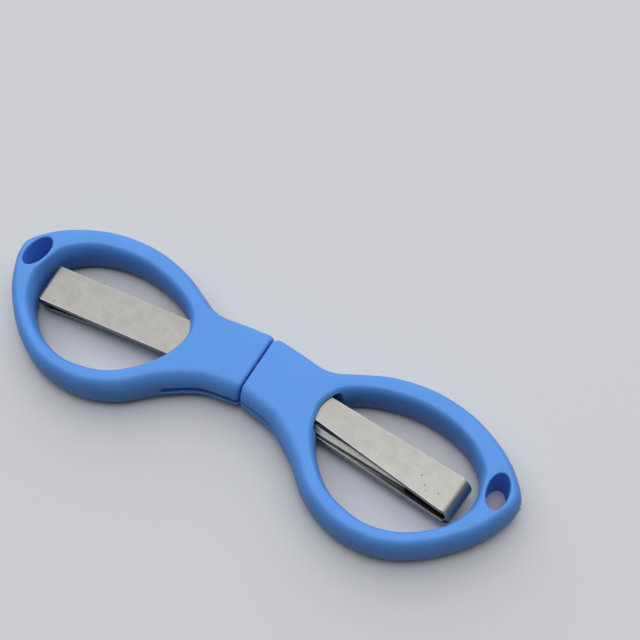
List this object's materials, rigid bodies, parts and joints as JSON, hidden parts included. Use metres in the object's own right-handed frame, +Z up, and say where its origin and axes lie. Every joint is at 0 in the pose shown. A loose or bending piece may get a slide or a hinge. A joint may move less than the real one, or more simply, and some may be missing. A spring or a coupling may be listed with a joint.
{
  "type": "folding scissors",
  "caption": "Pocket folding scissors, shut: steel levers with folded-back arms on a rivet, in sliding blue plastic ring handles with lanyard holes.",
  "frame": {"origin": "middle of the underside of the shut scissors", "axes": "+X along the scissors to the right handle's lanyard hole, +Y to the side the arms fold towards, +Z up through their thickness"},
  "size_m": [0.0978, 0.0296, 0.0079],
  "materials": {
    "steel": "satin, fine blasted grain",
    "blue_plastic": "satin moulded plastic"
  },
  "bodies": {
    "left_lever": {"left_blade_arm": "steel", "pivot_rivet": "steel"},
    "right_lever": {"right_blade_arm": "steel"},
    "left_grip": {"left_handle": "blue_plastic"},
    "right_grip": {"right_handle": "blue_plastic"}
  },
  "joints": [
    {"name": "left_handle_slide", "type": "slide", "parent": "left_lever", "child": "left_grip", "axis": [-0.9957, -0.0924, 0], "range_m": [0, 0.0213]},
    {"name": "lever_pivot", "type": "hinge", "parent": "left_lever", "child": "right_lever", "pos_m": [-0.0004, 0.00367, 0.00395], "axis": [0, 0, 1], "range_deg": [0, 2]},
    {"name": "right_handle_slide", "type": "slide", "parent": "right_lever", "child": "right_grip", "axis": [0.9957, -0.0924, 0], "range_m": [0, 0.0205]}
  ]
}
